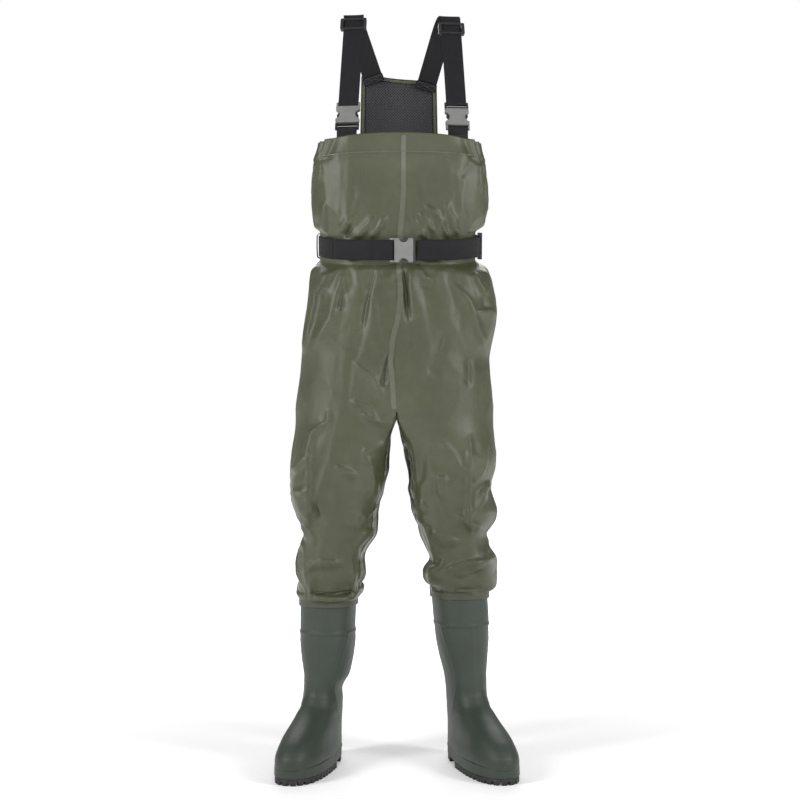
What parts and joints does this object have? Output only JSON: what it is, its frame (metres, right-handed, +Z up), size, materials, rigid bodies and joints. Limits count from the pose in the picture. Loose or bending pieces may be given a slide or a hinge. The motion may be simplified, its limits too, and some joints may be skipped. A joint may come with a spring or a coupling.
{
  "type": "chest waders",
  "caption": "Chest waders in coated fabric with welded wellington boots, mesh back yoke, side-release shoulder straps and an adjustable waist belt.",
  "frame": {"origin": "on the floor, under the middle of the whole object's box", "axes": "+Z up, -Y the wearer's front, +X the wearer's left"},
  "size_m": [0.47, 0.309, 1.5172],
  "materials": {
    "coated_fabric": "satin",
    "seam_fabric": "satin",
    "elastic": "matte",
    "boot_pvc": "satin",
    "weld_pvc": "satin",
    "sole_rubber": "matte",
    "insole_felt": "matte",
    "lining_knit": "matte",
    "spacer_mesh": "matte",
    "binding_fabric": "satin",
    "grey_acetal": "satin",
    "black_acetal": "satin",
    "webbing": "matte"
  },
  "bodies": {
    "garment": {"back_seam_tape": "seam_fabric", "back_yoke_mesh": "spacer_mesh", "back_yoke_panel": "coated_fabric", "belt_buckle_male": "black_acetal", "belt_loops": "webbing", "belt_main": "webbing", "belt_return_layer": "webbing", "belt_slack": "webbing", "bib_hem": "seam_fabric", "front_seam_tape": "seam_fabric", "left_bib_tab": "webbing", "left_boot_insole": "insole_felt", "left_boot_lining": "lining_knit", "left_boot_outsole": "sole_rubber", "left_boot_upper": "boot_pvc", "left_boot_weld_band": "weld_pvc", "left_buckle_female": "grey_acetal", "left_inseam_tape": "seam_fabric", "left_leg_shell": "coated_fabric", "left_side_elastic": "elastic", "left_strap_anchor": "webbing", "left_strap_back_run": "webbing", "left_strap_shoulder_arch": "webbing", "left_torso_shell": "coated_fabric", "right_bib_tab": "webbing", "right_boot_insole": "insole_felt", "right_boot_lining": "lining_knit", "right_boot_outsole": "sole_rubber", "right_boot_upper": "boot_pvc", "right_boot_weld_band": "weld_pvc", "right_buckle_male": "black_acetal", "right_inseam_tape": "seam_fabric", "right_leg_shell": "coated_fabric", "right_side_elastic": "elastic", "right_strap_anchor": "webbing", "right_strap_back_run": "webbing", "right_strap_shoulder_arch": "webbing", "right_torso_shell": "coated_fabric", "yoke_binding": "binding_fabric"},
    "right_strap_top": {"right_strap_front_run": "webbing", "right_strap_return_layer": "webbing", "right_buckle_female": "grey_acetal"},
    "left_strap_top": {"left_strap_front_run": "webbing", "left_strap_return_layer": "webbing", "left_buckle_male": "black_acetal"},
    "right_slider_body": {"right_strap_slider": "black_acetal"},
    "left_slider_body": {"left_strap_slider": "black_acetal"},
    "right_prong_outer": {"right_buckle_prong_outer": "black_acetal"},
    "right_prong_inner": {"right_buckle_prong_inner": "black_acetal"},
    "left_prong_outer": {"left_buckle_prong_outer": "black_acetal"},
    "left_prong_inner": {"left_buckle_prong_inner": "black_acetal"},
    "belt_socket_end": {"belt_release_end": "webbing", "belt_buckle_female": "grey_acetal"},
    "belt_slider_body": {"belt_slider": "black_acetal"},
    "belt_prong_top": {"belt_prong_upper": "black_acetal"},
    "belt_prong_bottom": {"belt_prong_lower": "black_acetal"}
  },
  "joints": [
    {"name": "right_shoulder_buckle_release", "type": "slide", "parent": "garment", "child": "right_strap_top", "axis": [0.0476, 0.3387, 0.9397], "range_m": [0, 0.032], "deforming": ["right_strap_shoulder_arch", "right_buckle_prong_outer", "right_buckle_prong_inner"]},
    {"name": "left_shoulder_buckle_release", "type": "slide", "parent": "garment", "child": "left_strap_top", "axis": [-0.0476, 0.3387, 0.9397], "range_m": [0, 0.032], "deforming": ["left_strap_shoulder_arch", "left_buckle_prong_outer", "left_buckle_prong_inner"]},
    {"name": "right_strap_length", "type": "slide", "parent": "right_strap_top", "child": "right_slider_body", "axis": [-0.0476, -0.3387, -0.9397], "range_m": [0, 0.13], "deforming": ["right_strap_return_layer"]},
    {"name": "left_strap_length", "type": "slide", "parent": "left_strap_top", "child": "left_slider_body", "axis": [0.0476, -0.3387, -0.9397], "range_m": [0, 0.13], "deforming": ["left_strap_return_layer"]},
    {"name": "right_prong_outer_press", "type": "hinge", "parent": "garment", "child": "right_prong_outer", "pos_m": [-0.11379, -0.04265, 1.28088], "axis": [0.1308, 0.9305, -0.342], "range_deg": [0, 8], "stiffness_Nm_per_rad": 0.12},
    {"name": "right_prong_inner_press", "type": "hinge", "parent": "garment", "child": "right_prong_inner", "pos_m": [-0.09002, -0.04599, 1.28088], "axis": [-0.1308, -0.9305, 0.342], "range_deg": [0, 8], "stiffness_Nm_per_rad": 0.12},
    {"name": "left_prong_outer_press", "type": "hinge", "parent": "left_strap_top", "child": "left_prong_outer", "pos_m": [0.12598, -0.02701, 1.30812], "axis": [-0.1308, 0.9305, -0.342], "range_deg": [0, 8], "stiffness_Nm_per_rad": 0.12},
    {"name": "left_prong_inner_press", "type": "hinge", "parent": "left_strap_top", "child": "left_prong_inner", "pos_m": [0.10221, -0.03035, 1.30812], "axis": [0.1308, -0.9305, 0.342], "range_deg": [0, 8], "stiffness_Nm_per_rad": 0.12},
    {"name": "belt_buckle_release", "type": "slide", "parent": "garment", "child": "belt_socket_end", "axis": [-1, 0, 0], "range_m": [0, 0.032], "deforming": ["belt_slack", "belt_prong_upper", "belt_prong_lower"]},
    {"name": "belt_length", "type": "hinge", "parent": "garment", "child": "belt_slider_body", "pos_m": [0.054, 0.028, 1.045], "axis": [0, -0.1736, 0.9848], "range_deg": [-50, 15], "deforming": ["belt_return_layer"]},
    {"name": "belt_prong_upper_press", "type": "hinge", "parent": "garment", "child": "belt_prong_top", "pos_m": [0.026, -0.07877, 1.03836], "axis": [0, -0.9848, -0.1736], "range_deg": [0, 8], "stiffness_Nm_per_rad": 0.12},
    {"name": "belt_prong_lower_press", "type": "hinge", "parent": "garment", "child": "belt_prong_bottom", "pos_m": [0.026, -0.0746, 1.01472], "axis": [0, 0.9848, 0.1736], "range_deg": [0, 8], "stiffness_Nm_per_rad": 0.12}
  ]
}
